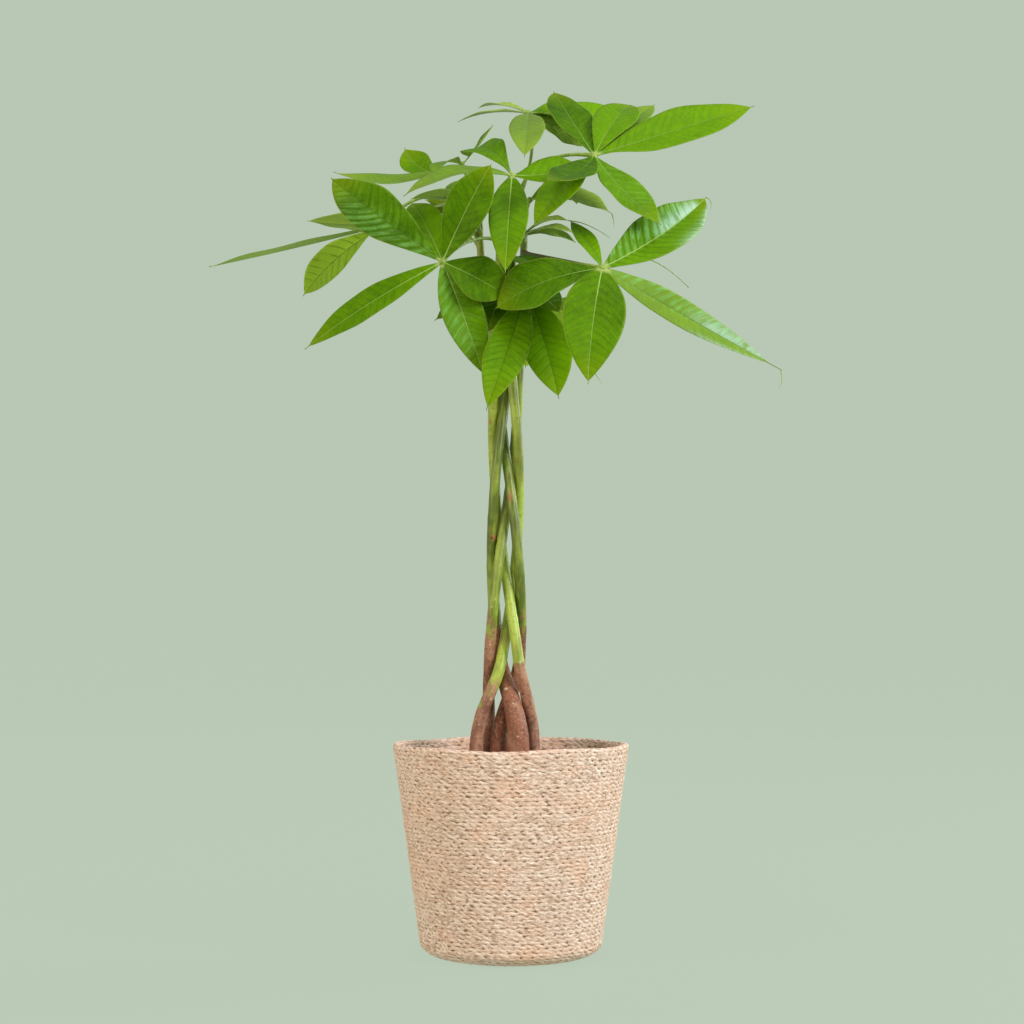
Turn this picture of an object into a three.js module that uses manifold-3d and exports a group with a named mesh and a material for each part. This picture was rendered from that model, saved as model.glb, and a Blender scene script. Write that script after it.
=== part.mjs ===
// Potted money tree: five stems braided into one trunk carry palmate leaves. The stems
// stand in soil in a plastic nursery pot, which stands in a woven seagrass basket.
// Millimetres, +Z up. The front is -Y, and the origin is the centre of the basket's base.
import * as THREE from "three";
import { mergeVertices } from "three/addons/utils/BufferGeometryUtils.js";
import Module from "manifold-3d";

const wasm = await Module();
wasm.setup();

// ---------------------------------------------------------------- driving dimensions
const GAP = 0.3; // clearance between pieces that touch

const BASKET = {
  height: 190,
  rimRadius: 107,
  cornerRadius: 82.8, // outer radius at the top of the rounded bottom corner
  flatRadius: 60, // the flat ring and floor that it stands on
  cornerHeight: 13,
  wall: 5.6,
  floor: 6,
  coils: 19, // raised coils up the side, one for every two woven rows
  coilDepth: 0.9,
  sides: 32,
};

const POT = {
  height: 166,
  footRadius: 68,
  topRadius: 91,
  wall: 1.5,
  lip: 3.5,
  lipHeight: 9,
  drainHoles: 6,
  drainRadius: 5,
  drainCircle: 48,
  sides: 32,
};

const SOIL = { top: 164, lump: 2.2, rings: 5, sides: 30 };

const STEM = {
  sides: 8,
  step: 24, // height between two sections of a stem
  buried: 46, // how deep a stem stands in the soil
  radius: 4.4, // in the upper braid
  tipRadius: 3.3,
};

// The braid: every stem runs the same flat figure of eight, one fifth of a turn apart.
const BRAID = {
  centre: -4.8,
  turn: 548, // height of one full turn
  start: 316, // height where the phases below hold
  top: 536,
  halfWidth: 12,
  extraHalfWidth: 6.5, // added towards the foot
  halfDepth: 10,
  extraHalfDepth: 9,
  ease: 40, // height over which the turning dies out at the top
  footTop: 264, // below this the stems spread to their feet
  foot: 184,
};

// phase in degrees, then where the stem leaves the soil and where it ends, [x, y] and [x, y, z]
const STEMS = {
  right: { phase: 18, foot: [20.5, 1], footRadius: 6.2, tip: [-10, -8, 667] },
  left: { phase: 162, foot: [-31.5, -4], footRadius: 6.4, tip: [-3, -19, 640] },
  rear: { phase: 90, foot: [-11.4, 4], footRadius: 7.3, tip: [-29, 15, 666] },
  inner: { phase: 234, foot: [-21, 16], footRadius: 6.4, tip: [12, -2, 655] },
  thick: { phase: 306, foot: [6.4, -14], footRadius: 10, tip: [2, 9, 680] },
};

const BLADE = {
  thickness: 0.8,
  stations: [0, 0.07, 0.18, 0.34, 0.5, 0.66, 0.82, 0.93, 1],
  stalkRadius: 1.5, // where the blade narrows into the hub
  stalkEnd: 0.08, // share of the length that thickens towards the hub
  tipHalfWidth: 0.7,
  fold: 0.16, // how far the margins rise over the midrib, per half width
  fullness: 0.85,
};

const PETIOLE = { baseRadius: 2.3, radius: 1.5, endRadius: 2.1, sides: 6, steps: 6 };
const HUB = { radius: 2.7, sides: 6, rings: 4 };

// A leaflet: where its tip is, its width, how far its midrib arches up and sways to the
// side, in mm, how far it rolls about the midrib, in degrees, and the share of its length
// at which it is widest.
const leaflet = (tip, width, arch = 10, sway = 0, roll = 0, widest = 0.55) => ({
  tip, width, arch, sway, roll, widest,
});

// Each leaf leaves its stem at a height, bends through one point and ends in a hub, from
// which its leaflets spread. Their upper sides face the way that "facing" points.
const LEAVES = [
  {
    name: "leaf_front_left", stem: "right", height: 650,
    bend: [-39, -43, 652], hub: [-60, -90, 615], facing: [0, -0.92, 0.38],
    leaflets: [
      leaflet([-160, -70, 694], 47, 5, 4, 0, 0.58),
      leaflet([-17, -103, 699], 40, 6),
      leaflet([-182, -75, 540], 27, 2, -3, 0, 0.5),
      leaflet([-24, -90, 515], 37, 2, 1, 0, 0.44),
      leaflet([-2, -88, 584], 44, 4),
      leaflet([-89, -55, 675], 34, 8),
    ],
  },
  {
    name: "leaf_front_right", stem: "inner", height: 640,
    bend: [21, -60, 627], hub: [79, -110, 606], facing: [0.1, -0.8, 0.6],
    leaflets: [
      leaflet([176, -40, 683], 50, 2, -7, 0, 0.5),
      leaflet([236, -95, 519], 27, 2, -3, 18, 0.38),
      leaflet([65, -150, 500], 54, 6, -2.5, 0, 0.43),
      leaflet([-14, -98, 572], 55, 8, -2, 0, 0.6),
      leaflet([53, -45, 661], 18, 1, -2),
      leaflet([159, -52, 599], 12, 6, 21, 0, 0.4),
    ],
  },
  {
    name: "leaf_upper_right", stem: "thick", height: 664,
    bend: [4, -9, 738], hub: [75, -50, 719], facing: [0.1, -0.5, 0.85],
    leaflets: [
      leaflet([40, 25, 798], 40, 1, 1),
      leaflet([223, -20, 772], 46, 2, -4, 22, 0.5),
      leaflet([131, -95, 647], 42, 2, -7),
      leaflet([30, -135, 677], 36, -3, 6),
      leaflet([113, 28, 786], 40, 8),
      leaflet([137, 50, 792], 30, 4),
      leaflet([19, -97, 645], 34, 11, 4),
    ],
  },
  {
    name: "leaf_centre", stem: "right", height: 667,
    bend: [-8, -30, 700], hub: [1, -62, 698], facing: [0, -0.75, 0.65],
    leaflets: [
      leaflet([-5, -114, 600], 35, 8, 0, 0, 0.46),
      leaflet([68, -38, 712], 44, 1, -6),
      leaflet([-95, -78, 676], 34, 14, 0, 20),
      leaflet([-40, 0, 729], 38, 16, -2, 0, 0.62),
    ],
  },
  {
    name: "leaf_top", stem: "thick", height: 680,
    bend: [28, 12, 735], hub: [16, 15, 775], facing: [0, -0.3, 0.95],
    leaflets: [
      leaflet([116, 65, 790], 44, -3, 0, 25, 0.42),
      leaflet([70, 30, 746], 38, 2, 0, 35),
      leaflet([12, -65, 714], 33, 8, 1),
      leaflet([-31, 50, 789], 20, 5),
      leaflet([-50, 25, 769], 20, 5),
    ],
  },
  {
    name: "leaf_upper_left", stem: "rear", height: 666,
    bend: [-36, 18, 704], hub: [-46, 14, 726], facing: [-0.1, 0, 1],
    leaflets: [
      leaflet([-165, 10, 718], 34, -12, 0, -28),
      leaflet([-102, 60, 753], 29, -15, 0, -40, 0.74),
      leaflet([-70, -32, 706], 25, 7),
      leaflet([-17, 25, 766], 20, -1, 0, 0, 0.7),
    ],
  },
  {
    name: "leaf_left", stem: "rear", height: 652,
    bend: [-67, -13, 723], hub: [-116, -20, 662], facing: [-0.1, 0.1, 1],
    leaflets: [
      leaflet([-280, 10, 629], 36, -1, 0, -14),
      leaflet([-188, -35, 594], 35, 6, 0, 40, 0.62),
      leaflet([-188, 0, 670], 32, -1, 0, 15, 0.36),
      leaflet([-133, 60, 702], 34, 8),
    ],
  },
  {
    name: "leaf_lower_centre", stem: "left", height: 618,
    bend: [6, -34, 612], hub: [14, -45, 598], facing: [0, -0.75, 0.6],
    leaflets: [
      leaflet([-21, -140, 479], 38, 8, 3),
      leaflet([42, -85, 495], 44, 10),
      leaflet([-12, -84, 578], 34, 8),
      leaflet([-68, -60, 568], 32, 10),
      leaflet([43, -84, 571], 28, 5),
    ],
  },
  {
    name: "leaf_young_right", stem: "inner", height: 649,
    bend: [12, -22, 656], hub: [10, -40, 648], facing: [0.1, -0.5, 0.85],
    leaflets: [
      leaflet([51, -60, 658], 20, 6),
      leaflet([55, -75, 644], 18, 6),
      leaflet([58, -50, 640], 20, 6),
    ],
  },
  {
    name: "leaf_young_left", stem: "rear", height: 661,
    bend: [-31, 4, 674], hub: [-33, -14, 684], facing: [-0.1, -0.2, 1],
    leaflets: [
      leaflet([-91, -34, 683], 24, 4, 0, 20),
      leaflet([-87, -26, 671], 18, 3),
    ],
  },
  {
    name: "leaf_inner_right", stem: "inner", height: 655,
    bend: [13, -8, 676], hub: [17, -25, 684], facing: [0.2, -0.6, 0.8],
    leaflets: [
      leaflet([91, -45, 667], 34, 10),
      leaflet([62, 30, 692], 32, 8),
    ],
  },
  {
    name: "leaf_inner", stem: "left", height: 633,
    bend: [-2, -26, 637], hub: [2, -36, 629], facing: [0.2, -0.7, 0.7],
    leaflets: [
      leaflet([24, -62, 608], 26, 6),
      leaflet([-22, -36, 560], 34, 4),
    ],
  },
  {
    name: "leaf_back_low", stem: "inner", height: 632,
    bend: [20, 36, 625], hub: [22, 70, 598], facing: [0.1, 0.75, 0.6],
    leaflets: [
      leaflet([80, 105, 555], 40, 10),
      leaflet([14, 115, 548], 42, 10),
      leaflet([60, 165, 600], 40, 10),
      leaflet([-15, 165, 650], 38, 10),
    ],
  },
  {
    name: "leaf_back_left", stem: "rear", height: 640,
    bend: [-34, 45, 664], hub: [-39, 70, 666], facing: [-0.1, 0.6, 0.75],
    leaflets: [
      leaflet([-84, 110, 713], 38, 10),
      leaflet([-111, 140, 694], 40, 10),
      leaflet([-80, 150, 690], 42, 10),
      leaflet([-11, 170, 716], 40, 10),
      leaflet([-51, 150, 742], 38, 10),
    ],
  },
];

const FINISH = {
  seagrass: { color: 0xb79468, roughness: 0.9, metalness: 0 },
  plastic: { color: 0x2b2b2b, roughness: 0.55, metalness: 0 },
  soil: { color: 0x3a2a1e, roughness: 1, metalness: 0 },
  bark: { color: 0x8a7346, roughness: 0.8, metalness: 0 },
  leaf: { color: 0x5c8f2c, roughness: 0.4, metalness: 0 },
};

// ---------------------------------------------------------------- geometry helpers
const clamp01 = (value) => Math.min(Math.max(value, 0), 1);
const mix = (a, b, share) => a + (b - a) * share;
const smooth = (value) => clamp01(value) ** 2 * (3 - 2 * clamp01(value));
const radians = THREE.MathUtils.degToRad;
const vector = (point) => new THREE.Vector3(...point);

// A closed skin over sections with the same number of points each, counterclockwise as
// seen from the far end. In a blade the second half of every section is the underside,
// whose quads are split along the same lines as those above them.
function loft(sections, isBlade = false) {
  const count = sections[0].length;
  const triangles = [];
  for (let i = 0; i + 1 < sections.length; i += 1) {
    for (let j = 0; j < count; j += 1) {
      const near = i * count + j;
      const nearNext = i * count + ((j + 1) % count);
      const far = near + count;
      const farNext = nearNext + count;
      const isUnderside = isBlade && j >= count / 2;
      if (isUnderside) {
        triangles.push(near, nearNext, far, nearNext, farNext, far);
      } else {
        triangles.push(near, nearNext, farNext, near, farNext, far);
      }
    }
  }
  const last = (sections.length - 1) * count;
  for (let j = 1; j + 1 < count; j += 1) {
    triangles.push(0, j + 1, j, last, last + j, last + j + 1);
  }
  const geometry = new THREE.BufferGeometry();
  geometry.setFromPoints(sections.flat());
  geometry.setIndex(triangles);
  return geometry;
}

// A tube through points, with a radius at each of them.
function tube(points, radii, sides) {
  const side = new THREE.Vector3(1, 0, 0);
  const sections = points.map((point, i) => {
    const before = points[Math.max(i - 1, 0)];
    const after = points[Math.min(i + 1, points.length - 1)];
    const along = after.clone().sub(before).normalize();
    side.addScaledVector(along, -side.dot(along)).normalize();
    const across = along.clone().cross(side);
    return Array.from({ length: sides }, (_, k) => {
      const angle = (2 * Math.PI * k) / sides;
      return point
        .clone()
        .addScaledVector(side, radii[i] * Math.cos(angle))
        .addScaledVector(across, radii[i] * Math.sin(angle));
    });
  });
  return loft(sections);
}

function bezier(start, bend, end, share) {
  const rest = 1 - share;
  return start
    .clone()
    .multiplyScalar(rest * rest)
    .addScaledVector(bend, 2 * rest * share)
    .addScaledVector(end, share * share);
}

function toSolid(geometry) {
  const bare = geometry.clone();
  bare.deleteAttribute("normal");
  bare.deleteAttribute("uv");
  const merged = mergeVertices(bare, 1e-4);
  return new wasm.Manifold(
    new wasm.Mesh({
      numProp: 3,
      vertProperties: new Float32Array(merged.attributes.position.array),
      triVerts: new Uint32Array(merged.index.array),
    }),
  );
}

function toGeometry(solid) {
  const mesh = solid.getMesh();
  const geometry = new THREE.BufferGeometry();
  geometry.setAttribute("position", new THREE.BufferAttribute(mesh.vertProperties, 3));
  geometry.setIndex(new THREE.BufferAttribute(mesh.triVerts, 1));
  return geometry;
}

const fuse = (geometries) => geometries.map(toSolid).reduce((whole, part) => whole.add(part));

// A profile of [radius, height] pairs turned about the Z axis.
function turned(profile, sides) {
  const geometry = new THREE.LatheGeometry(
    profile.map(([radius, height]) => new THREE.Vector2(radius, height)),
    sides,
  );
  return geometry.rotateX(Math.PI / 2);
}

// ---------------------------------------------------------------- basket
function basketRadius(height) {
  const slope = (BASKET.rimRadius - BASKET.cornerRadius) / (BASKET.height - BASKET.cornerHeight);
  return BASKET.cornerRadius + slope * (height - BASKET.cornerHeight);
}

function basketGeometry() {
  const rimRound = BASKET.wall / 2;
  const corner = [0, 30, 60].map((degrees) => [
    mix(BASKET.flatRadius, BASKET.cornerRadius, Math.sin(radians(degrees))),
    BASKET.cornerHeight * (1 - Math.cos(radians(degrees))),
  ]);
  const coilHeight = (BASKET.height - rimRound - BASKET.cornerHeight) / BASKET.coils;
  const side = [];
  for (let coil = 0; coil < BASKET.coils; coil += 1) {
    const groove = BASKET.cornerHeight + coil * coilHeight;
    const crest = groove + coilHeight / 2;
    side.push([basketRadius(groove) - BASKET.coilDepth, groove], [basketRadius(crest), crest]);
  }
  const rimCentre = [BASKET.rimRadius - rimRound, BASKET.height - rimRound];
  const rim = [0, 45, 90, 135, 180].map((degrees) => [
    rimCentre[0] + rimRound * Math.cos(radians(degrees)),
    rimCentre[1] + rimRound * Math.sin(radians(degrees)),
  ]);
  const inner = [
    [basketRadius(BASKET.cornerHeight) - BASKET.wall, BASKET.cornerHeight],
    [basketRadius(BASKET.cornerHeight) - BASKET.wall - BASKET.floor, BASKET.floor],
  ];
  return turned([[0, 0], ...corner, ...side, ...rim, ...inner, [0, BASKET.floor]], BASKET.sides);
}

// ---------------------------------------------------------------- nursery pot and soil
const potFoot = BASKET.floor + GAP;

const potInnerRadius = (height) =>
  mix(POT.footRadius, POT.topRadius, (height - potFoot) / POT.height) - POT.wall;

function potGeometry() {
  const top = potFoot + POT.height;
  const lipFoot = top - POT.lipHeight;
  const floor = potFoot + POT.wall;
  const wallTop = potInnerRadius(lipFoot) + POT.wall;
  const shell = turned(
    [
      [0, potFoot],
      [POT.footRadius, potFoot],
      [wallTop, lipFoot],
      [POT.topRadius + POT.lip, lipFoot],
      [POT.topRadius + POT.lip, top],
      [potInnerRadius(top), top],
      [potInnerRadius(floor), floor],
      [0, floor],
    ],
    POT.sides,
  );
  const holes = Array.from({ length: POT.drainHoles }, (_, i) => {
    const angle = (2 * Math.PI * i) / POT.drainHoles;
    return new THREE.CylinderGeometry(POT.drainRadius, POT.drainRadius, POT.wall * 4, 8)
      .rotateX(Math.PI / 2)
      .translate(POT.drainCircle * Math.cos(angle), POT.drainCircle * Math.sin(angle), floor);
  });
  return toGeometry(toSolid(shell).subtract(fuse(holes)));
}

function soilGeometry() {
  const foot = potFoot + POT.wall + GAP;
  const rows = [];
  for (let ring = 0; ring < SOIL.rings; ring += 1) {
    const share = (ring + 1) / SOIL.rings;
    const row = [];
    for (let i = 0; i < SOIL.sides; i += 1) {
      const angle = (2 * Math.PI * i) / SOIL.sides;
      const lump = Math.sin(5 * angle + 4 * share) * Math.cos(3 * angle - 9 * share);
      const height = SOIL.top + SOIL.lump * (lump * share + 1 - share);
      const radius = share * (potInnerRadius(height) - GAP) * Math.cos(Math.PI / SOIL.sides);
      row.push(new THREE.Vector3(radius * Math.cos(angle), radius * Math.sin(angle), height));
    }
    rows.unshift(row);
  }
  const footRadius = (potInnerRadius(foot) - GAP) * Math.cos(Math.PI / SOIL.sides);
  const footRow = rows[0].map((_, i) => {
    const angle = (2 * Math.PI * i) / SOIL.sides;
    return new THREE.Vector3(footRadius * Math.cos(angle), footRadius * Math.sin(angle), foot);
  });
  const body = toSolid(loft([footRow, ...rows]));
  const holes = fuse(Object.values(STEMS).map((stem) => stemGeometry(stem, GAP)));
  return toGeometry(body.subtract(holes));
}

// ---------------------------------------------------------------- stems
function stemPoint(stem, height) {
  const over = Math.max(height - BRAID.top + BRAID.ease, 0);
  const braidHeight = height - over + BRAID.ease * (1 - Math.exp(-over / BRAID.ease));
  const angle = radians(stem.phase - (360 * (braidHeight - BRAID.start)) / BRAID.turn);
  const towardsFoot = clamp01((BRAID.top - height) / (BRAID.top - BRAID.foot));
  const halfWidth = BRAID.halfWidth + BRAID.extraHalfWidth * towardsFoot ** 3;
  const halfDepth = BRAID.halfDepth + BRAID.extraHalfDepth * towardsFoot ** 3;
  const x = BRAID.centre + halfWidth * Math.sin(angle);
  const y = -halfDepth * Math.sin(2 * angle);
  const spread = smooth((BRAID.footTop - height) / (BRAID.footTop - BRAID.foot));
  const [tipX, tipY, tipHeight] = stem.tip;
  const parting = smooth((height - BRAID.top + 20) / (tipHeight - BRAID.top + 20));
  return new THREE.Vector3(
    mix(mix(x, stem.foot[0], spread), tipX, parting),
    mix(mix(y, stem.foot[1], spread), tipY, parting),
    height,
  );
}

function stemRadius(stem, height) {
  const towardsFoot = clamp01((BRAID.top - height) / (BRAID.top - BRAID.foot));
  const towardsTip = clamp01((height - BRAID.top) / (stem.tip[2] - BRAID.top));
  const trunk = mix(STEM.radius, stem.footRadius, towardsFoot ** 4);
  return mix(trunk, STEM.tipRadius, towardsTip);
}

function stemGeometry(stem, inflation = 0) {
  const foot = SOIL.top - STEM.buried;
  const steps = Math.round((stem.tip[2] - foot) / STEM.step);
  const heights = Array.from({ length: steps + 1 }, (_, i) => mix(foot, stem.tip[2], i / steps));
  const points = heights.map((height) => stemPoint(stem, height));
  const radii = heights.map((height) => stemRadius(stem, height) + inflation);
  const crown = points.at(-1).clone();
  crown.z += STEM.tipRadius / 2 + inflation;
  points[0].z -= inflation;
  return tube([...points, crown], [...radii, radii.at(-1) * 0.6], STEM.sides);
}

// ---------------------------------------------------------------- leaves
function petioleGeometry(leaf) {
  const start = stemPoint(STEMS[leaf.stem], leaf.height);
  const shares = Array.from({ length: PETIOLE.steps + 1 }, (_, i) => i / PETIOLE.steps);
  const points = shares.map((share) => bezier(start, vector(leaf.bend), vector(leaf.hub), share));
  const radii = shares.map((share) => {
    const base = (PETIOLE.baseRadius - PETIOLE.radius) * (1 - smooth(share / 0.3));
    const end = (PETIOLE.endRadius - PETIOLE.radius) * smooth((share - 0.8) / 0.2);
    return PETIOLE.radius + base + end;
  });
  return tube(points, radii, PETIOLE.sides);
}

// The half width at a share of the length, as a share of the widest.
function bladeOutline(share, widest) {
  const lean = Math.log(0.5) / Math.log(widest);
  return Math.max(Math.sin(Math.PI * share ** lean), 0) ** BLADE.fullness;
}

function bladeGeometry(leaf, { tip, width, arch, sway, roll, widest }) {
  const start = vector(leaf.hub);
  const end = vector(tip);
  const chord = end.clone().sub(start);
  const along = chord.clone().normalize();
  const up = vector(leaf.facing);
  up.addScaledVector(along, -up.dot(along)).normalize();
  const aside = up.clone().cross(along);
  const bend = start
    .clone()
    .addScaledVector(chord, 0.55)
    .addScaledVector(up, arch * 2)
    .addScaledVector(aside, sway * 2);
  const sections = BLADE.stations.map((share) => {
    const centre = bezier(start, bend, end, share);
    const tangent = bend
      .clone()
      .sub(start)
      .multiplyScalar(1 - share)
      .addScaledVector(end.clone().sub(bend), share)
      .normalize();
    const normal = up
      .clone()
      .addScaledVector(tangent, -up.dot(tangent))
      .normalize()
      .applyAxisAngle(tangent, radians(roll) * smooth(share / 0.3));
    const side = normal.clone().cross(tangent);
    const stalk = 1 - clamp01(share / BLADE.stalkEnd);
    const outline = (width / 2) * bladeOutline(share, widest);
    const halfWidth = Math.max(outline, BLADE.tipHalfWidth, BLADE.stalkRadius * stalk);
    const halfThickness = mix(BLADE.thickness / 2, BLADE.stalkRadius, stalk);
    const rise = BLADE.fold * halfWidth * (1 - stalk);
    const place = (across, above) =>
      centre
        .clone()
        .addScaledVector(side, across * halfWidth)
        .addScaledVector(normal, above * halfThickness + Math.abs(across) * rise);
    return [
      ...[1, 0, -1].map((across) => place(across, 1)),
      ...[-1, 0, 1].map((across) => place(across, -1)),
    ];
  });
  return loft(sections, true);
}

function leafGeometry(leaf) {
  const hub = new THREE.SphereGeometry(HUB.radius, HUB.sides, HUB.rings);
  hub.translate(...leaf.hub);
  const blades = leaf.leaflets.map((blade) => bladeGeometry(leaf, blade));
  const whole = fuse([petioleGeometry(leaf), hub, ...blades]);
  return toGeometry(whole.subtract(toSolid(stemGeometry(STEMS[leaf.stem], GAP))));
}

// ---------------------------------------------------------------- the potted tree
function part(name, geometry, finish) {
  const mesh = new THREE.Mesh(geometry, new THREE.MeshStandardMaterial(finish));
  mesh.name = name;
  return mesh;
}

const tree = new THREE.Group();
tree.add(part("basket", basketGeometry(), FINISH.seagrass));
tree.add(part("nursery_pot", potGeometry(), FINISH.plastic));
tree.add(part("soil", soilGeometry(), FINISH.soil));
for (const [name, stem] of Object.entries(STEMS)) {
  tree.add(part(`stem_${name}`, stemGeometry(stem), FINISH.bark));
}
for (const leaf of LEAVES) {
  tree.add(part(leaf.name, leafGeometry(leaf), FINISH.leaf));
}

export default tree;
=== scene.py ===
"""The looks of a potted money tree. Five stems, braided into one trunk, carry palmate
leaves. They stand in soil in a plastic nursery pot inside a woven seagrass basket.

Blender works in metres, and so do the studio and the materials. The other tables and
the shapes are in millimetres, and Piece.make turns them into metres. +Z is up, and the
front is -Y.
"""

import math

import bpy
import numpy as np
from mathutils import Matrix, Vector


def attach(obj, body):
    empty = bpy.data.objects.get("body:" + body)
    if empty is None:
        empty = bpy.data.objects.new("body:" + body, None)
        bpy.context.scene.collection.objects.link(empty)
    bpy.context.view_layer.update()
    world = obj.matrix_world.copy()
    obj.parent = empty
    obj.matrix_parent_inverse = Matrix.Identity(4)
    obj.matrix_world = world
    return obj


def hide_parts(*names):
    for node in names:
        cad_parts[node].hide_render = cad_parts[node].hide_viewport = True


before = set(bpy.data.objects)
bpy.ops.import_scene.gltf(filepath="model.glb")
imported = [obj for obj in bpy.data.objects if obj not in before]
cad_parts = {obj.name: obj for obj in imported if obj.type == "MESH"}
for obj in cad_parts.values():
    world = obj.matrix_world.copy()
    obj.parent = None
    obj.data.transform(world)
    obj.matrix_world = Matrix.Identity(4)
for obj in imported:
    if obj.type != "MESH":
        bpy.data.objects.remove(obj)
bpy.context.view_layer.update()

MM = 0.001
SEED = 7
TURN = 2 * math.pi
WAVE_COUNT = 6  # sine waves in each smooth random curve

# ---------------------------------------------------------------- driving dimensions, mm
BASKET = {
    "height": 190,
    "rim_radius": 107,
    "corner_radius": 82.8,
    "flat_radius": 60,
    "corner_height": 13,
    "wall": 5.6,
    "floor": 6,
}
RIM_WAVES = {"foot": 150, "bulge": 0.5, "rise": 0.7}  # uneven from this height up
BASE_COIL = {"relief": 0.9, "step": 1.4, "sides": 192}

ROPE = {
    "pitch": 3.7,  # from one row of the weave to the next
    "strand_orbit": 0.72,  # from the rope's axis to the axis of each of its two strands
    "strand_radius": 1.8,
    "flat": 0.46,  # height of the pressed rope as a share of a round one's
    "lay": 16.5,  # along the rope, for one full twist of the strands
    "deepest": 0.67,  # of the grooves, below the crests
    "columns": 860,
    "samples": 6,  # points across one row
    "rows_inside": 12,  # rows that show on the inner wall
    # how far random waves go: up and down the wall, shared between rows or one row's own,
    # along the twist in radians, in the strand's thickness as a share, and off the wall
    "sway": 0.34,
    "jitter": 0.16,
    "wander": 1.1,
    "fat": 0.1,
    "lift": 0.08,
}
NOWHERE = -9.0  # a depth below all of the rope

POT = {"foot": 6.3, "height": 166, "foot_radius": 68, "top_radius": 91, "wall": 1.5}
POT_LIP = {"width": 3.5, "height": 9, "round": 0.7}

SOIL = {
    "top": 164,
    "foot": 8.4,
    "clearance": 0.5,
    "rings": 60,
    "sides": 150,
    "crumbs": 520,
    "heap": 1.6,  # height of the soil drawn up around a stem
    "heap_area": 260,
    "most_heap": 1.2,  # where stems stand close, as a share of one heap
    "rough": 0.38,
}
SOIL_SWELLS = ((26, 1.1), (11, 0.9), (5, 0.7), (2.6, 0.45))  # wavelength and share of "rough"
CRUMB = {
    "reach": 0.97,  # the furthest out, as a share of the soil's radius
    "size": (0.7, 2.3),
    "uneven": (0.6, 1.25),
    "rough": 0.08,
    "large": {"chance": 0.06, "scale": 1.6},
    "chip": {"chance": 0.16, "shape": (1.9, 0.7, 0.45), "tone": 0.75},
    "tone": (0, 0.3),
    "out": 0.15,  # how far its middle stands out of the soil, as a share of its size
}

STEM = {"sides": 28, "step": 1.2, "buried": 46, "radius": 4.4, "tip_radius": 3.3}
LEAF_SCARS = {"first": (200, 230), "apart": (28, 60), "below_tip": 12, "rise": 0.18, "width": 3.2}
STRAY_MARKS = {"first": (195, 215), "apart": (14, 40), "below_tip": 14, "size": (1.2, 3), "strength": 0.8}
# height over the stem's tip and radius
BUD = ((-2.5, 3.3), (-0.5, 3.3), (1, 3.1), (3.5, 2.7), (6.5, 2.5), (9.5, 1.6), (11.5, 0.7), (12.5, 0.1))

BRAID = {
    "centre": -4.8,
    "turn": 548,
    "start": 316,
    "top": 536,
    "half_width": 12,
    "extra_half_width": 6.5,
    "half_depth": 10,
    "extra_half_depth": 9,
    "ease": 40,
    "foot_top": 264,
    "foot": 184,
}

# phase in degrees, the foot's [x, y] and radius, the tip [x, y, z], the height where brown
# bark gives way to green, over how far, how pale and pink that bark is and how light the
# green is, the last two from 0 to 1 and partly painted shade and light, set stem by stem
STEM_KEYS = ("phase", "foot", "foot_radius", "tip", "bark", "fade", "pink", "light")
STEM_ROWS = {
    "right": (18, (20.5, 1), 6.2, (-10, -8, 667), 262, 22, 0.5, 0.95),
    "left": (162, (-31.5, -4), 6.4, (-3, -19, 640), 240, 22, 0.7, 0.65),
    "rear": (90, (-11.4, 4), 8, (-29, 15, 666), 300, 22, 0.0, 0.35),
    "inner": (234, (-21, 16), 6.4, (12, -2, 655), 288, 40, 0.35, 0.4),
    "thick": (306, (6.4, -14), 10.7, (2, 9, 680), 300, 22, 0.12, 0.22),
}
STEMS = {name: dict(zip(STEM_KEYS, row)) for name, row in STEM_ROWS.items()}

# on each stem: height, heading in degrees (-90 is the front), size, and how pale, dark,
# rusty and green the mark is
MARKS = {
    "right": [
        (484, -123, 4.5, 0, 0.1, 0.8, 0), (264, -75, 2.2, 0.8, 0, 0.2, 0), (262, -100, 3, 0, 0.5, 0.6, 0),
        (237, -123, 2.2, 0, 0.9, 0.3, 0), (215, -75, 1.8, 0, 0.7, 0, 0), (198, -110, 2, 0.3, 0, 0, 0),
    ],
    "left": [
        (483, -103, 1.8, 0, 0.6, 0, 0), (447, -150, 6, 0, 0, 0.5, 0), (361, -103, 4, 0, 0.2, 0.9, 0),
        (224, -145, 4.5, 0, 0, 0, 1), (232, -60, 2.5, 0.7, 0, 0, 0), (300, -60, 1.4, 0, 0.3, 0.4, 0),
    ],
    "rear": [
        (413, -110, 5.2, 0, 0.3, 1, 0), (418, -80, 3, 0, 0.4, 0.8, 0), (208, -95, 1.6, 0.7, 0, 0, 0),
        (452, -60, 2, 0.6, 0, 0, 0), (345, -120, 1.5, 0, 0.2, 0.4, 0),
    ],
    "inner": [
        (321, -80, 3, 0.5, 0, 0.2, 0), (314, -110, 2.2, 0.6, 0.2, 0, 0), (281, -90, 1.6, 0.9, 0, 0, 0),
        (300, -60, 4, 0, 0, 0.5, 0),
    ],
    "thick": [
        (377.5, -95, 2.2, 0, 1, 0.3, 0), (378, -78, 5.4, 0.1, 0.1, 0.9, 0), (267, -105, 1.8, 0.9, 0, 0, 0),
        (262, -70, 2.2, 0, 0.5, 0, 0), (237, -105, 1.9, 0.9, 0, 0, 0), (225, -73, 1.7, 0, 0.8, 0.4, 0),
        (202, -55, 2.2, 0, 0.7, 0, 0), (197, -88, 1.6, 0.7, 0, 0, 0),
    ],
}

BLADE = {
    "thickness": 0.45,
    "stalk_radius": 1.5,
    "stalk_end": 0.08,
    "fold": 0.16,
    "fullness": 0.85,
    "station": 1.7,  # between two stations along a blade
    "fewest_stations": 26,
    "across": 10,  # points from the midrib to each margin
    "vein_gap": 8.4,
    "vein_slant": 0.5,
    "vein_curve": 0.012,
    "nib_radius": 0.42,
}

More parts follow.
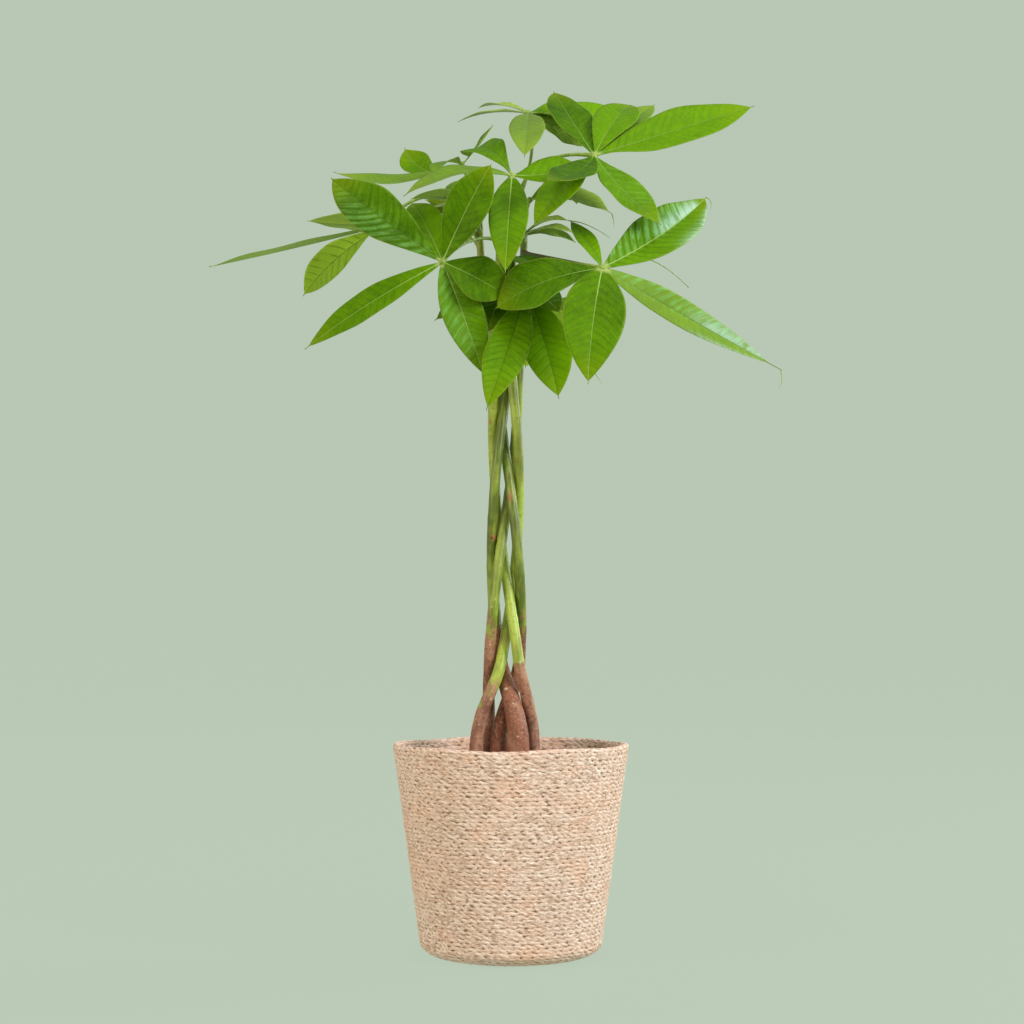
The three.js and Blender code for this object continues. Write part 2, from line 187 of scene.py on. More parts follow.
PETIOLE = {"base_radius": 2.3, "radius": 1.5, "end_radius": 2.1, "sides": 14, "steps": 36}
HUB_RADIUS = 2.9


def leaflet(tip, width, arch=10, sway=0, roll=0, widest=0.55,
            tone=0.4, pale=0, painted_gloss=0, frost=0, rib=0.6, vein=0.1, quilt=0.35, nib=0.03):
    """One leaflet: its tip, its width, how its midrib arches up, sways and rolls, and the
    share of its length where it is widest, as in the CAD. tone runs from deep to bright
    green and pale to a greyish one; both are partly the leaflet's own colour and partly
    painted shade and light, set leaflet by leaflet. gloss is a painted highlight on its
    panels, on one side of the midrib or, below 0, on the other, and frost a whiter painted
    highlight towards the tip. rib and vein run from dark lines to pale ones, quilt is how
    far it swells between its veins, and nib the share that is its drip tip."""
    return {
        "tip": tip, "width": width, "arch": arch, "sway": sway, "roll": roll, "widest": widest,
        "tone": tone, "pale": pale, "painted_gloss": painted_gloss, "frost": frost, "rib": rib, "vein": vein, "quilt": quilt,
        "nib": nib,
    }


def palmate(stem, height, bend, hub, facing, leaflets, brown=0):
    """One compound leaf: the stem and the height that its petiole comes from, the petiole's
    bend and hub, where its upper face looks, its leaflets and how brown its petiole is."""
    return {
        "stem": stem, "height": height, "bend": bend, "hub": hub, "facing": facing,
        "leaflets": leaflets, "brown": brown,
    }


# gloss and frost paint highlights, and tone and pale are partly painted shade and light, leaflet by leaflet
LEAVES = {
    "leaf_front_left": palmate("right", 650, (-39, -43, 652), (-60, -90, 615), (0, -0.92, 0.38), [
        leaflet((-160, -70, 694), 47, 5, 4, 0, 0.58,
                tone=0.23, painted_gloss=0.38, rib=0.1, vein=-0.45, quilt=0.4, nib=0.02),
        leaflet((-17, -103, 699), 40, 6, tone=0.32, rib=0.7, vein=0.08, quilt=0.25, nib=0.02),
        leaflet((-182, -75, 540), 27, 2, -3, 0, 0.5, tone=0.48, rib=0.65, quilt=0.3, nib=0.04),
        leaflet((-24, -90, 515), 37, 2, 1, 0, 0.44, tone=0.45, painted_gloss=-0.42, rib=0.75, vein=0.4, quilt=0.42),
        leaflet((-2, -88, 584), 44, 4, tone=0.15, rib=0.5),
        leaflet((-89, -55, 675), 34, 8, tone=0.6),
    ]),
    "leaf_front_right": palmate("inner", 640, (21, -60, 627), (79, -110, 606), (0.1, -0.8, 0.6), [
        leaflet((176, -40, 683), 50, 2, -7, 0, 0.5,
                tone=0.62, painted_gloss=0.9, frost=0.75, rib=0.95, vein=-0.45, quilt=0.42, nib=0.02),
        leaflet((236, -95, 519), 27, 2, -3, 18, 0.38,
                tone=0.5, pale=0.25, painted_gloss=0.9, frost=0.6, rib=0.2, vein=0.3, quilt=0.35, nib=0.09),
        leaflet((65, -150, 500), 54, 6, -2.5, 0, 0.43, tone=0.4, rib=0.7, vein=-0.12, quilt=0.35),
        leaflet((-14, -98, 572), 55, 8, -2, 0, 0.6, tone=0.2, rib=0.5, vein=0.2, quilt=0.35),
        leaflet((53, -45, 661), 18, 1, -2, tone=0.9, rib=0.3, nib=0.04),
        leaflet((159, -52, 599), 12, 6, 21, 0, 0.4, tone=0.7, pale=0.9, rib=0.5, nib=0.5),
    ], brown=0.9),
    "leaf_upper_right": palmate("thick", 664, (4, -9, 738), (75, -50, 719), (0.1, -0.5, 0.85), [
        leaflet((40, 25, 798), 40, 1, 1, tone=0.25, rib=0.5, vein=0.15),
        leaflet((223, -20, 772), 46, 2, -4, 22, 0.5, tone=0.72, rib=0.45, vein=0.2),
        leaflet((131, -95, 647), 42, 2, -7, tone=0.56, painted_gloss=0.2, rib=0.55, vein=0.25),
        leaflet((30, -135, 677), 36, -3, 6, tone=0.12, rib=0.25),
        leaflet((113, 28, 786), 40, 8, tone=0.65, rib=0.5),
        leaflet((137, 50, 792), 30, 4, tone=0.6, pale=0.2),
        leaflet((19, -97, 645), 34, 11, 4, tone=0.65, rib=0.4),
    ]),
    "leaf_centre": palmate("right", 667, (-8, -30, 700), (1, -62, 698), (0, -0.75, 0.65), [
        leaflet((-5, -114, 600), 35, 8, 0, 0, 0.46, tone=0.55, rib=0.75, vein=0.12, quilt=0.3),
        leaflet((68, -38, 712), 44, 1, -6, tone=0.6, rib=0.6),
        leaflet((-95, -78, 676), 34, 14, 0, 20, tone=0.4, pale=0.2, vein=0.6, quilt=0.4),
        leaflet((-40, 0, 729), 38, 16, -2, 0, 0.62, tone=0.5, rib=0.3),
    ]),
    "leaf_top": palmate("thick", 680, (28, 12, 735), (16, 15, 775), (0, -0.3, 0.95), [
        leaflet((116, 65, 790), 44, -3, 0, 25, 0.42, tone=0.95),
        leaflet((70, 30, 746), 38, 2, 0, 35, tone=1, pale=0.5),
        leaflet((12, -65, 714), 33, 8, 1, tone=0.22, pale=0.28, rib=0.4, vein=0.6, quilt=0.4),
        leaflet((-31, 50, 789), 20, 5, tone=0.4, pale=0.7),
        leaflet((-50, 25, 769), 20, 5, tone=0.4, pale=0.7),
    ]),
    "leaf_upper_left": palmate("rear", 666, (-36, 18, 704), (-46, 14, 726), (-0.1, 0, 1), [
        leaflet((-165, 10, 718), 34, -12, 0, -28, tone=0.45, pale=0.2, nib=0.04),
        leaflet((-102, 60, 753), 29, -15, 0, -40, 0.74, tone=0.45),
        leaflet((-70, -32, 706), 25, 7, tone=0.45, pale=0.12, vein=0.6, quilt=0.4),
        leaflet((-17, 25, 766), 20, -1, 0, 0, 0.7, tone=0.4),
    ]),
    "leaf_left": palmate("rear", 652, (-67, -13, 723), (-116, -20, 662), (-0.1, 0.1, 1), [
        leaflet((-280, 10, 629), 36, -1, 0, -14, tone=0.95, pale=0.3, rib=0.9, vein=0.4, nib=0.04),
        leaflet((-188, -35, 594), 35, 6, 0, 40, 0.62, tone=0.9, rib=0.1, vein=-0.6, quilt=0.4, nib=0.03),
        leaflet((-188, 0, 670), 32, -1, 0, 15, 0.36, tone=1, pale=0.25, vein=0.3, nib=0.04),
        leaflet((-133, 60, 702), 34, 8, tone=0.25),
    ]),
    "leaf_lower_centre": palmate("left", 618, (6, -34, 612), (14, -45, 598), (0, -0.75, 0.6), [
        leaflet((-21, -140, 479), 38, 8, 3, tone=0.6, rib=0.05, vein=-0.35, quilt=0.45),
        leaflet((42, -85, 495), 44, 10, tone=0.88, rib=0.1, vein=-0.3, quilt=0.35),
        leaflet((-12, -84, 578), 34, 8, tone=0.25),
        leaflet((-68, -60, 568), 32, 10, tone=0.2),
        leaflet((43, -84, 571), 28, 5, tone=0.35, painted_gloss=0.6, rib=0.95, vein=0.4, quilt=0.4),
    ]),
    "leaf_young_right": palmate("inner", 649, (12, -22, 656), (10, -40, 648), (0.1, -0.5, 0.85), [
        leaflet((51, -60, 658), 20, 6, tone=1, pale=0.95),
        leaflet((55, -75, 644), 18, 6, tone=1, pale=0.8),
        leaflet((58, -50, 640), 20, 6, tone=1, pale=0.7),
    ]),
    "leaf_young_left": palmate("rear", 661, (-31, 4, 674), (-33, -14, 684), (-0.1, -0.2, 1), [
        leaflet((-91, -34, 683), 24, 4, 0, 20, tone=1, pale=0.3),
        leaflet((-87, -26, 671), 18, 3, tone=0.4, pale=0.85),
    ]),
    "leaf_inner_right": palmate("inner", 655, (13, -8, 676), (17, -25, 684), (0.2, -0.6, 0.8), [
        leaflet((91, -45, 667), 34, 10, tone=1, pale=0.8, vein=0.4, nib=0.06),
        leaflet((62, 30, 692), 32, 8, tone=0.7),
    ]),
    "leaf_inner": palmate("left", 633, (-2, -26, 637), (2, -36, 629), (0.2, -0.7, 0.7), [
        leaflet((24, -62, 608), 26, 6, tone=0.2),
        leaflet((-22, -36, 560), 34, 4, tone=0.15),
    ]),
    "leaf_back_low": palmate("inner", 632, (20, 36, 625), (22, 70, 598), (0.1, 0.75, 0.6), [
        leaflet((80, 105, 555), 40, 10, tone=0.4, painted_gloss=0.3),
        leaflet((14, 115, 548), 42, 10, tone=0.5),
        leaflet((60, 165, 600), 40, 10, tone=0.3),
        leaflet((-15, 165, 650), 38, 10, tone=0.45, painted_gloss=0.4, quilt=0.7, vein=-0.5),
    ]),
    "leaf_back_left": palmate("rear", 640, (-34, 45, 664), (-39, 70, 666), (-0.1, 0.6, 0.75), [
        leaflet((-84, 110, 713), 38, 10, tone=0.4),
        leaflet((-111, 140, 694), 40, 10, tone=0.3, painted_gloss=0.4, quilt=0.7, vein=-0.5),
        leaflet((-80, 150, 690), 42, 10, tone=0.55),
        leaflet((-11, 170, 716), 40, 10, tone=0.45),
        leaflet((-51, 150, 742), 38, 10, tone=0.6),
    ]),
}

# thread-like ends of drip tips: the leaf, and the line that each follows
THREADS = [
    ("leaf_front_right", [(235.2, -95, 519), (235.8, -95, 513), (235.6, -95, 508), (233.5, -95, 503)]),
    ("leaf_front_right", [(176, -40, 683), (179.5, -40, 681), (181, -40, 677), (180, -40, 672)]),
    ("leaf_front_right", [(64, -146, 515), (70, -147, 511), (74, -148, 505), (77, -148, 500)]),
    ("leaf_inner_right", [(91, -45, 667), (92, -45, 663), (92.7, -45, 659), (92.5, -45, 655)]),
    ("leaf_young_right", [(51, -60, 658), (64, -62, 655), (78, -64, 648), (88, -62, 642)]),
]


# ---------------------------------------------------------------- numbers and meshes
def mix(a, b, share):
    return a + (b - a) * share


def smooth(value):
    value = np.clip(value, 0, 1)
    return value * value * (3 - 2 * value)


def unit(vectors):
    return vectors / np.linalg.norm(vectors, axis=-1, keepdims=True)


def row_dot(a, b):
    return np.sum(a * b, axis=-1, keepdims=True)


def stack(*parts):
    """Parts side by side along a new last axis."""
    return np.stack(np.broadcast_arrays(*parts), -1)


def polar(radius, angles, height):
    """Points at a radius from Z and a height, at each angle."""
    return stack(radius * np.cos(angles), radius * np.sin(angles), height)


def bezier(start, bend, end, shares):
    rest = 1 - shares
    return start * rest * rest + bend * 2 * rest * shares + end * shares * shares


def waves(rng, angles, slowest, fastest):
    """A smooth random curve over angles that closes on itself, about from -1 to 1."""
    total = np.zeros_like(angles)
    for _ in range(WAVE_COUNT):
        turns = rng.integers(slowest, fastest + 1)
        total += np.sin(turns * angles + rng.uniform(0, TURN))
    return total / math.sqrt(WAVE_COUNT)


def hashed(*keys):
    """A random-looking number from 0 to 1 for each set of whole numbers in keys."""
    total = sum(key * weight for key, weight in zip(keys, (12.9898, 78.233, 37.719)))
    return np.modf(np.abs(np.sin(total) * 43758.5453))[0]


def grid_faces(rows, columns, closed=False):
    """Quads over a grid of points, row by row. closed joins the last column to the first."""
    across = columns if closed else columns - 1
    i, j = np.meshgrid(np.arange(rows - 1), np.arange(across), indexing="ij")
    here = i * columns + j
    beside = i * columns + (j + 1) % columns
    return stack(here, here + columns, beside + columns, beside).reshape(-1, 4)


def put(name, data):
    """A new object in the scene."""
    made = bpy.data.objects.new(name, data)
    bpy.context.scene.collection.objects.link(made)
    return made


class Piece:
    """Parts of one mesh, gathered before the object is made."""

    def __init__(self):
        self.points, self.faces, self.slots = [], [], []
        self.values = {}
        self.count = 0

    def add(self, points, faces, slot=0, **values):
        """Adds points in mm and faces over them. values holds one number, or three, for
        each point."""
        points = np.asarray(points, float).reshape(-1, 3)
        self.points.append(points)
        self.faces.extend((np.asarray(face) + self.count).tolist() for face in faces)
        self.slots.extend([slot] * len(faces))
        for name, value in values.items():
            self.values.setdefault(name, []).append((self.count, np.asarray(value, float)))
        self.count += len(points)

    def wrap(self, points, slot=0, inward=False, **values):
        """Adds a grid of points whose rows are closed rings."""
        faces = grid_faces(*points.shape[:2], closed=True)
        for name, value in values.items():
            shape = points.shape if np.shape(value)[-1:] == (3,) else points.shape[:2]
            values[name] = np.broadcast_to(value, shape)
        self.add(points, faces if inward else faces[:, ::-1], slot, **values)

    def make(self, name, materials):
        """The mesh object, in metres, with the values as attributes of its points."""
        mesh = bpy.data.meshes.new(name)
        mesh.from_pydata((np.concatenate(self.points) * MM).tolist(), [], self.faces)
        for material in materials:
            mesh.materials.append(material)
        mesh.polygons.foreach_set("material_index", self.slots)
        mesh.polygons.foreach_set("use_smooth", [True] * len(self.faces))
        for value_name, parts in self.values.items():
            width = 3 if parts[0][1].ndim > 1 and parts[0][1].shape[-1] == 3 else 1
            whole = np.zeros((self.count, width), np.float32)
            for first, part in parts:
                flat = part.reshape(-1, width)
                whole[first : first + len(flat)] = flat
            kind = "FLOAT_VECTOR" if width == 3 else "FLOAT"
            layer = mesh.attributes.new(value_name, kind, "POINT")
            layer.data.foreach_set("vector" if width == 3 else "value", whole.ravel())
        mesh.validate()
        mesh.update()
        return put(name, mesh)


def settle(piece, node):
    """The piece joins the root body and stands for a CAD node, which is hidden."""
    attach(piece, "root")
    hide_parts(node)


def around(count):
    """count angles, evenly all round."""
    return TURN * np.arange(count) / count


def tube(points, radii, sides):
    """A round tube through points, as a grid of its points."""
    points = np.asarray(points, float)
    along = unit(np.gradient(points, axis=0))
    side = np.array([1.0, 0.0, 0.0])
    angles = around(sides)
    rows = []
    for point, direction, radius in zip(points, along, radii):
        side = unit(side - direction * np.dot(side, direction))
        across = np.cross(direction, side)
        ring = np.outer(np.cos(angles), side) + np.outer(np.sin(angles), across)
        rows.append(point + ring * np.reshape(radius, (-1, 1)))
    return np.array(rows)


def smooth_line(corners, count):
    """A smooth line of count points through corners."""
    corners = np.array(corners, float)
    ends = np.concatenate([[2 * corners[0] - corners[1]], corners, [2 * corners[-1] - corners[-2]]])
    spot = np.linspace(0, len(corners) - 1 - 1e-9, count)
    first = spot.astype(int)
    t = (spot - first)[:, None]
    a, b, c, d = (ends[first + step] for step in range(4))
    return b + 0.5 * t * (c - a + t * (2 * a - 5 * b + 4 * c - d + t * (3 * (b - c) + d - a)))


def lathe(profile, sides):
    """A profile of (radius, height) pairs turned about Z."""
    radii, heights = np.array(profile, float).T[..., None]
    return polar(radii, around(sides), heights)


# ---------------------------------------------------------------- materials
# a face's name, its deep and bright colours, its faded one, which also brightens leaflets in shade as
# painted light, and its roughness
LEAF_PAINTS = (
    ("leaf_upper_face", (0.023, 0.070, 0.0005), (0.122, 0.275, 0.001), (0.34, 0.46, 0.09), 0.42),
    ("leaf_under_face", (0.11, 0.20, 0.008), (0.35, 0.52, 0.035), (0.50, 0.58, 0.30), 0.55),
)


class Shader:
    """A node material, written as short expressions. An input is a number, a colour or
    the output of another node."""

    def __init__(self, name, roughness=0.5, **fixed):
        self.material = bpy.data.materials.new(name)
        self.material.use_nodes = True
        self.tree = self.material.node_tree
        self.surface = self.tree.nodes["Principled BSDF"]
        self.surface.inputs["Roughness"].default_value = roughness
        for socket, value in fixed.items():
            self.surface.inputs[socket.replace("_", " ")].default_value = value

    def feed(self, socket, value):
        if isinstance(value, bpy.types.NodeSocket):
            self.tree.links.new(value, socket)
        elif isinstance(value, tuple) and len(value) == 3 and socket.type == "RGBA":
            socket.default_value = (*value, 1)
        else:
            socket.default_value = value

    def node(self, kind, *values, **settings):
        """A node with its settings and, in order, its inputs. None leaves one alone."""
        made = self.tree.nodes.new(kind)
        for name, setting in settings.items():
            setattr(made, name, setting)
        for socket, value in zip(made.inputs, values):
            if value is not None:
                self.feed(socket, value)
        return made

    def value(self, name):
        return self.node("ShaderNodeAttribute", attribute_name=name).outputs["Fac"]

    def split(self, name):
        found = self.node("ShaderNodeAttribute", attribute_name=name).outputs["Vector"]
        return self.node("ShaderNodeSeparateXYZ", found).outputs

    def place(self):
        return self.node("ShaderNodeTexCoord").outputs["Object"]

    def math(self, operation, *values):
        return self.node("ShaderNodeMath", *values, operation=operation).outputs[0]

    def plus(self, total, *values):
        for value in values:
            total = self.math("ADD", total, value)
        return total

    def times(self, total, *values):
        for value in values:
            total = self.math("MULTIPLY", total, value)
        return total

    def combine(self, x, y, z):
        return self.node("ShaderNodeCombineXYZ", x, y, z).outputs[0]

    def stretch(self, place, factors):
        return self.node("ShaderNodeVectorMath", place, factors, operation="MULTIPLY").outputs[0]

    def noise(self, place, scale, detail=2.0, roughness=0.5):
        return self.node("ShaderNodeTexNoise", place, None, scale, detail, roughness).outputs[0]

    def cells(self, place, scale, feature="F1"):
        return self.node("ShaderNodeTexVoronoi", place, None, scale, feature=feature).outputs["Distance"]

    def ramp(self, value, low, high, start=0.0, end=1.0):
        """value between low and high, eased, as start to end."""
        made = self.node("ShaderNodeMapRange", value, low, high, start, end, interpolation_type="SMOOTHSTEP")
        return made.outputs[0]

    def mix(self, share, a, b):
        """Colour a with share of colour b in it."""
        made = self.node("ShaderNodeMix", share, *[None] * 5, a, b, data_type="RGBA")
        return made.outputs[2]

    def coat(self, colour, *coats):
        """colour under coats of paint. Each is a value, the low, high, start and end of
        the ramp from it to the coat's strength, and the paint."""
        for value, low, high, start, end, paint in coats:
            colour = self.mix(self.ramp(value, low, high, start, end), colour, paint)
        return colour

    def bump(self, height, strength, distance, under=None):
        return self.node("ShaderNodeBump", strength, distance, None, height, under).outputs[0]

    def finish(self, colour, roughness=None, normal=None):
        for name, value in (("Base Color", colour), ("Roughness", roughness), ("Normal", normal)):
            if value is not None:
                self.feed(self.surface.inputs[name], value)
        return self.material


def leaf_material(name, deep, bright, faded_and_painted_light, shine):
    """A leaf face, from deep to bright green, mixed towards a pale colour that is partly a
    greyish leaf and partly painted light that brightens leaflets in shade, with shine as
    its roughness. The value "blade" holds the count of veins from the base, the distance
    from the midrib in mm and the share of the length, "look" the tone, paleness and the
    strength of the painted highlight on the panels, and "lines" how pale midrib and veins
    are and the share of the way to the margin."""
    shader = Shader(name, Specular_IOR_Level=0.08, Specular_Tint=(0.9, 1.0, 0.4, 1))
    ramp, times, noise = shader.ramp, shader.times, shader.noise
    veins, from_rib, share = shader.split("blade")
    tone, pale, painted_gloss = shader.split("look")
    rib_tone, vein_tone, margin = shader.split("lines")
    place = shader.place()
    blotch = noise(place, 17, 2)
    mottle = noise(place, 75, 3)
    speckle = noise(place, 320, 3, 0.65)
    to_vein = shader.math("PINGPONG", veins, 0.5)
    swell = ramp(to_vein, 0.05, 0.36)
    streaks = noise(shader.combine(times(veins, 2.6), times(from_rib, 0.09), share), 1.0, 3)
    panel = times(swell, ramp(streaks, 0.4, 0.62), 0.13)
    tone = shader.plus(tone, ramp(blotch, 0.3, 0.7, -0.10, 0.10), ramp(mottle, 0.3, 0.7, -0.06, 0.06),
                       ramp(speckle, 0.3, 0.7, -0.08, 0.08), panel)
    colour = shader.coat(
        shader.mix(tone, deep, bright),
        (share, 0.66, 0.97, 0.0, 0.4, (0.19, 0.27, 0.004)),  # yellower towards the tip
    )
    # painted light: the pale colour also brightens leaflets that sit in shade
    colour = shader.mix(pale, colour, faded_and_painted_light)

    # painted highlights: a lighter colour on the swollen panels of one side, and a whiter frost
    side = ramp(times(from_rib, painted_gloss), -5.0, 4.0)
    painted_sheen = times(shader.math("ABSOLUTE", painted_gloss), side, swell, ramp(share, 0.7, 0.9, 1.0, 0.15),
                  ramp(mottle, 0.38, 0.6, 0.45, 1.0))
    colour = shader.mix(times(painted_sheen, ramp(streaks, 0.32, 0.62, 0.1, 0.85)), colour, (0.17, 0.40, 0.13))
    frost = times(shader.value("frost"), ramp(streaks, 0.3, 0.55, 0.3, 1.0))
    colour = shader.mix(frost, colour, (0.42, 0.60, 0.50))

    # veins, thinner and fainter towards the tip and broken up along their length
    line = shader.mix(ramp(vein_tone, -0.1, 0.1), (0.018, 0.055, 0.003), (0.20, 0.34, 0.08))
    thin = times(ramp(to_vein, 0.01, ramp(vein_tone, -0.9, 0.1, 0.17, 0.09), 0.7, 0.0),
                 ramp(noise(place, 62, 2), 0.34, 0.6, 0.2, 1.0), ramp(share, 0.68, 0.92, 1.0, 0.2))
    colour = shader.mix(times(thin, shader.math("ABSOLUTE", vein_tone)), colour, line)

    # the midrib, then the margin, the stalk and the tip
    rib_tone = shader.plus(rib_tone, ramp(share, 0.08, 0.4, 0.25, 0.0))
    rib = shader.mix(rib_tone, (0.016, 0.050, 0.003), (0.30, 0.43, 0.11))
    rib_width = times(ramp(share, 0.0, 1.0, 0.4, 0.2), ramp(rib_tone, 0.7, 0.95, 1.0, 1.45))
    away = shader.math("DIVIDE", shader.math("ABSOLUTE", from_rib), rib_width)
    colour = shader.coat(
        colour,
        (away, 0.55, 1.35, 0.85, 0.0, rib),
        (margin, 0.92, 1.0, 0.0, 0.45, (0.26, 0.36, 0.05)),
        (share, 0.02, 0.055, 0.8, 0.0, (0.33, 0.40, 0.12)),
        (share, 0.984, 0.998, 0.0, 1.0, (0.10, 0.055, 0.02)),
    )

    net = shader.cells(place, 420, "DISTANCE_TO_EDGE")
    fine = shader.bump(ramp(net, 0.0, 0.12), 0.05, 0.0003)
    normal = shader.bump(ramp(to_vein, 0.0, 0.16), 0.35, 0.0005, fine)
    dull = ramp(mottle, 0.3, 0.7, shine - 0.05, shine + 0.07)
    return shader.finish(colour, shader.math("SUBTRACT", dull, times(painted_sheen, 0.2)), normal)


def stalk_material():
    """Petioles, hubs and thread-like tips. The value "tone" runs from green to brown."""
    shader = Shader("petiole_green", roughness=0.42, Specular_IOR_Level=0.3)
    streaks = shader.noise(shader.stretch(shader.place(), (260.0, 260.0, 40.0)), 1.0, 3)
    colour = shader.mix(shader.ramp(streaks, 0.3, 0.7), (0.15, 0.25, 0.025), (0.30, 0.41, 0.08))
    colour = shader.mix(shader.value("tone"), colour, (0.075, 0.045, 0.028))
    return shader.finish(colour, normal=shader.bump(streaks, 0.2, 0.0004))


def bark_material():
    """Green above and brown below, as the value "bark" says. "pink" is how pale the brown
    is and "light" how light the green is, both partly painted shade and light set stem by
    stem, and "marks" holds how pale, dark and rusty each place is."""
    shader = Shader("stem_bark", roughness=0.5, Specular_IOR_Level=0.5)
    ramp, times, noise, coat = shader.ramp, shader.times, shader.noise, shader.coat
    place = shader.place()
    streaks = noise(shader.stretch(place, (330.0, 330.0, 40.0)), 1.0, 4, 0.6)
    patches = noise(place, 55, 3)
    specks = noise(place, 300, 3, 0.6)
    long_patches = noise(shader.stretch(place, (60.0, 60.0, 22.0)), 1.0, 2)
    grain = noise(place, 480, 3, 0.7)
    tone = shader.plus(shader.value("light"), ramp(long_patches, 0.3, 0.7, -0.42, 0.42),
                       ramp(streaks, 0.3, 0.72, -0.2, 0.2))
    green = coat(
        shader.mix(tone, (0.088, 0.125, 0.004), (0.365, 0.455, 0.048)),
        (patches, 0.52, 0.75, 0.0, 0.5, (0.27, 0.240, 0.03)),
        (specks, 0.52, 0.68, 0.0, 0.4, (0.105, 0.125, 0.012)),
    )
    brown = coat(
        shader.mix(shader.value("pink"), (0.235, 0.064, 0.020), (0.54, 0.285, 0.180)),
        (long_patches, 0.38, 0.56, 0.7, 0.0, (0.14, 0.040, 0.024)),
        (streaks, 0.25, 0.6, 0.6, 0.0, (0.13, 0.050, 0.028)),
        (patches, 0.5, 0.72, 0.0, 0.4, (0.50, 0.27, 0.165)),
        (specks, 0.53, 0.66, 0.0, 0.6, (0.085, 0.026, 0.015)),
        (grain, 0.52, 0.70, 0.0, 0.5, (0.58, 0.34, 0.24)),
    )
    edge = shader.plus(shader.value("bark"), ramp(streaks, 0.2, 0.8, -0.25, 0.25),
                       ramp(patches, 0.3, 0.7, -0.25, 0.25))
    age = ramp(edge, 0.3, 0.7)
    pores = shader.cells(shader.stretch(place, (1.0, 1.0, 0.7)), 210)
    pore_mask = times(ramp(pores, 0.1, 0.2, 0.5, 0.0), times(age, ramp(patches, 0.45, 0.6)))
    pale, dark, rust = shader.split("marks")
    colour = coat(
        shader.mix(pore_mask, shader.mix(age, green, brown), (0.66, 0.50, 0.38)),
        (rust, 0.15, 0.75, 0.0, 0.8, (0.34, 0.12, 0.05)),
        (pale, 0.2, 0.8, 0.0, 0.85, (0.72, 0.58, 0.42)),
        (dark, 0.2, 0.75, 0.0, 0.9, (0.060, 0.020, 0.014)),
    )
    height = shader.plus(times(streaks, ramp(age, 0.0, 1.0, 0.3, 1.0)),
                         times(specks, ramp(age, 0.0, 1.0, 0.0, 0.6)))
    return shader.finish(colour, ramp(age, 0.0, 1.0, 0.42, 0.66), shader.bump(height, 0.5, 0.0006))


def seagrass_material():
    """Twisted seagrass. The value "fibre" holds the place along and around a strand in mm
    and a number of its own for each strand. "hidden" holds 1 in the bottom of a groove and
    0 on a crest, and 1 on the inner wall; it paints shade there, as dark slits in the
    deepest grooves and a darker inner wall."""
    shader = Shader("woven_seagrass", roughness=0.8, Specular_IOR_Level=0.3)
    noise, times = shader.noise, shader.times
    along, around_strand, own = shader.split("fibre")
    groove, inside, _ = shader.split("hidden")
    place = shader.place()
    fibre_place = shader.combine(times(along, 0.17), times(around_strand, 0.65), times(own, 37.0))
    fibres = noise(fibre_place, 1.0, 4, 0.7)
    wide = noise(shader.stretch(place, (1.0, 1.0, 3.0)), 8, 2)
    patches = noise(shader.stretch(place, (1.0, 1.0, 1.6)), 34, 2)
    flecks = noise(shader.stretch(place, (220.0, 220.0, 560.0)), 1.0, 3, 0.7)
    colour = shader.coat(
        shader.mix(own, (0.685, 0.452, 0.345), (0.81, 0.590, 0.490)),
        (patches, 0.48, 0.7, 0.0, 0.5, (0.80, 0.43, 0.28)),
        (patches, 0.25, 0.45, 0.3, 0.0, (0.69, 0.50, 0.36)),
        (fibres, 0.51, 0.64, 0.0, 0.85, (0.97, 0.80, 0.71)),
        (fibres, 0.34, 0.48, 0.85, 0.0, (0.36, 0.215, 0.135)),
        (flecks, 0.34, 0.46, 0.75, 0.0, (0.33, 0.195, 0.12)),
        (flecks, 0.55, 0.66, 0.0, 0.7, (0.96, 0.80, 0.71)),
        (wide, 0.4, 0.7, 0.0, 0.3, (0.82, 0.52, 0.38)),
        # painted shade: the deepest groove bottoms darkened into slits
        (groove, 0.74, 0.98, 0.0, 0.85, (0.19, 0.092, 0.045)),
    )
    # painted shade: the inner wall a little darker
    colour = shader.mix(times(inside, 0.1), colour, (0.36, 0.225, 0.135))
    normal = shader.bump(shader.plus(fibres, flecks), 0.8, 0.0011)
    return shader.finish(colour, shader.ramp(fibres, 0.3, 0.7, 0.88, 0.68), normal)


def pot_material():
    shader = Shader("black_pot_plastic", roughness=0.5)
    place = shader.place()
    scuffs = shader.noise(place, 130, 4, 0.65)
    dust = shader.noise(place, 24, 2)
    colour = shader.coat(
        (0.012, 0.012, 0.013),
        (scuffs, 0.55, 0.75, 0.0, 0.5, (0.045, 0.043, 0.04)),
        (dust, 0.55, 0.8, 0.0, 0.35, (0.10, 0.075, 0.05)),
    )
    return shader.finish(colour, shader.ramp(scuffs, 0.3, 0.7, 0.42, 0.6), shader.bump(scuffs, 0.15, 0.0004))


def soil_material():
    """Dark crumbs. The value "tone" is how much a crumb is a pale chip of wood."""
    shader = Shader("potting_soil", roughness=0.95)
    place = shader.place()
    grains = shader.noise(place, 420, 5, 0.7)
    clods = shader.noise(place, 70, 3)
    colour = shader.coat(
        (0.018, 0.010, 0.006),
        (grains, 0.3, 0.7, 0.0, 1.0, (0.085, 0.052, 0.030)),
        (clods, 0.4, 0.7, 0.0, 0.5, (0.055, 0.032, 0.018)),
    )
    colour = shader.mix(shader.value("tone"), colour, (0.24, 0.15, 0.085))
    return shader.finish(colour, normal=shader.bump(grains, 0.9, 0.0016))


